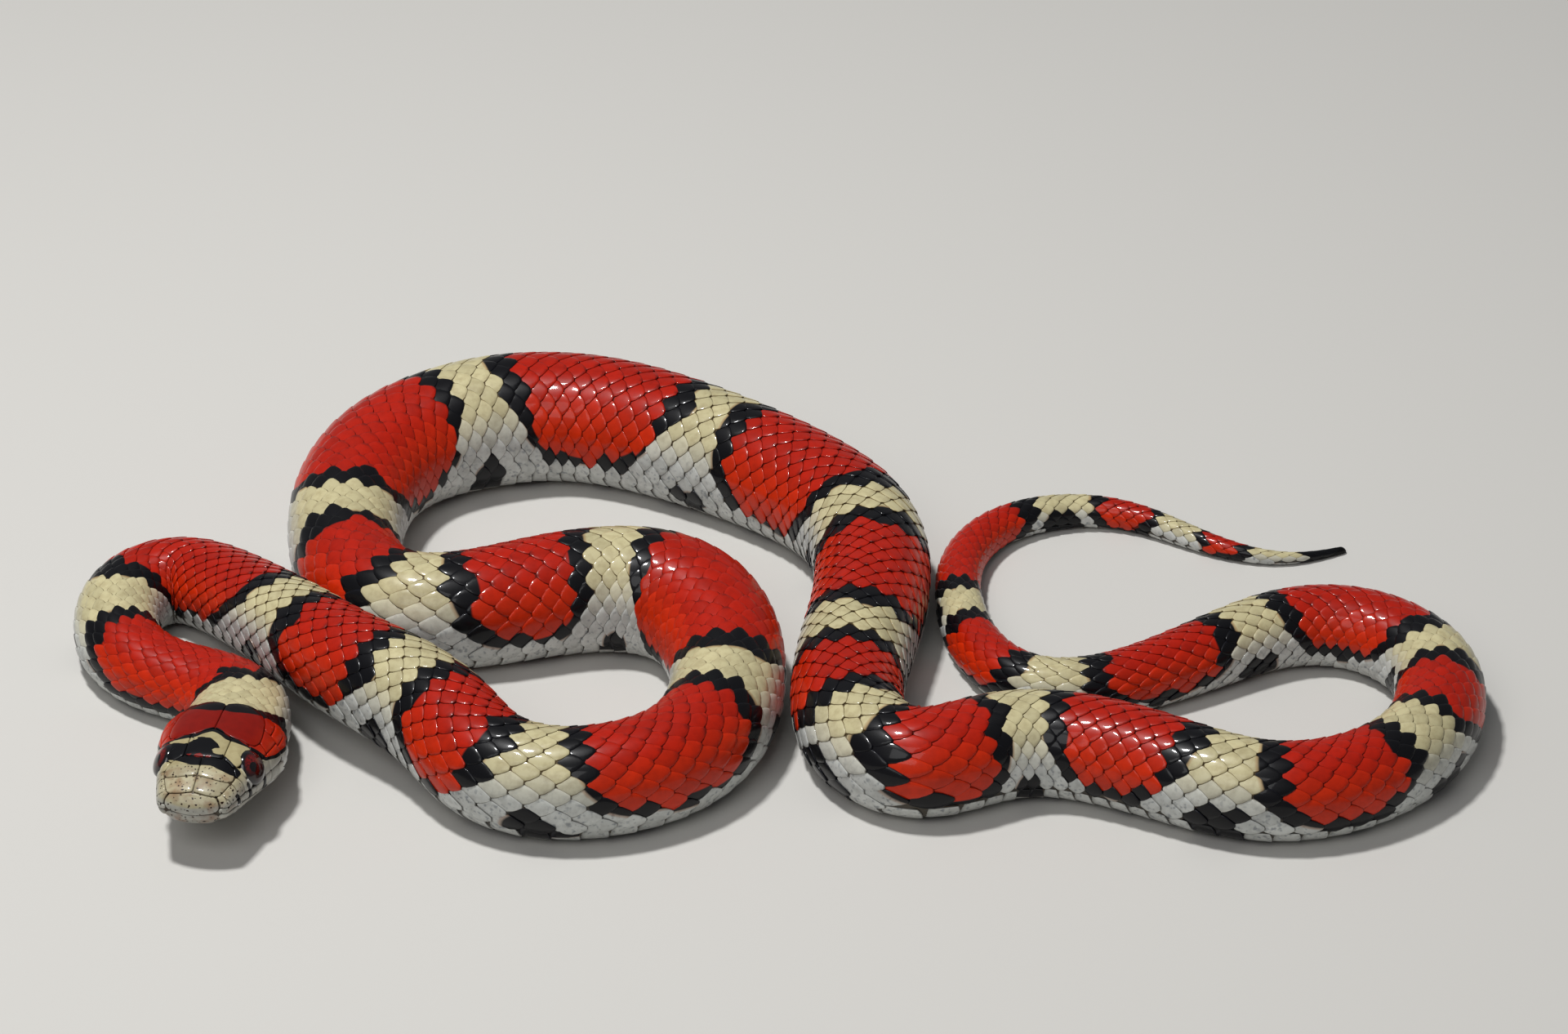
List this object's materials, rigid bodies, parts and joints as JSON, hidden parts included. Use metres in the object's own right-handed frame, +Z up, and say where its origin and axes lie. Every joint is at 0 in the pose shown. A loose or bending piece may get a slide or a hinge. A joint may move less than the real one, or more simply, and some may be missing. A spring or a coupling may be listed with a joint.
{
  "type": "red milk snake, life-size model",
  "caption": "Life-size model of a milk snake lying in loose loops on a flat surface, head turned to the front, red saddles with black edges on cream.",
  "frame": {"origin": "on the floor, under the middle of the whole animal's box", "axes": "+X along the longest side of the resting animal, from the head's end to the tail's end; -Y towards the side that the head faces; +Z up"},
  "size_m": [0.1629, 0.0977, 0.0151],
  "materials": {
    "body_scales": "smooth glossy snake scales, orange-red saddles edged in black on cream",
    "head_scales": "smooth glossy head plates, cream, red and black",
    "eye": "wet, clear and glossy, dark red-brown iris with a round black pupil"
  },
  "bodies": {
    "root": {"head": "head_scales", "eye_left": "eye", "eye_right": "eye", "neck": "body_scales", "trunk_01": "body_scales", "trunk_02": "body_scales", "trunk_03": "body_scales", "trunk_04": "body_scales", "trunk_05": "body_scales", "trunk_06": "body_scales", "trunk_07": "body_scales", "trunk_08": "body_scales", "trunk_09": "body_scales", "trunk_10": "body_scales", "tail_01": "body_scales", "tail_02": "body_scales"}
  },
  "joints": []
}
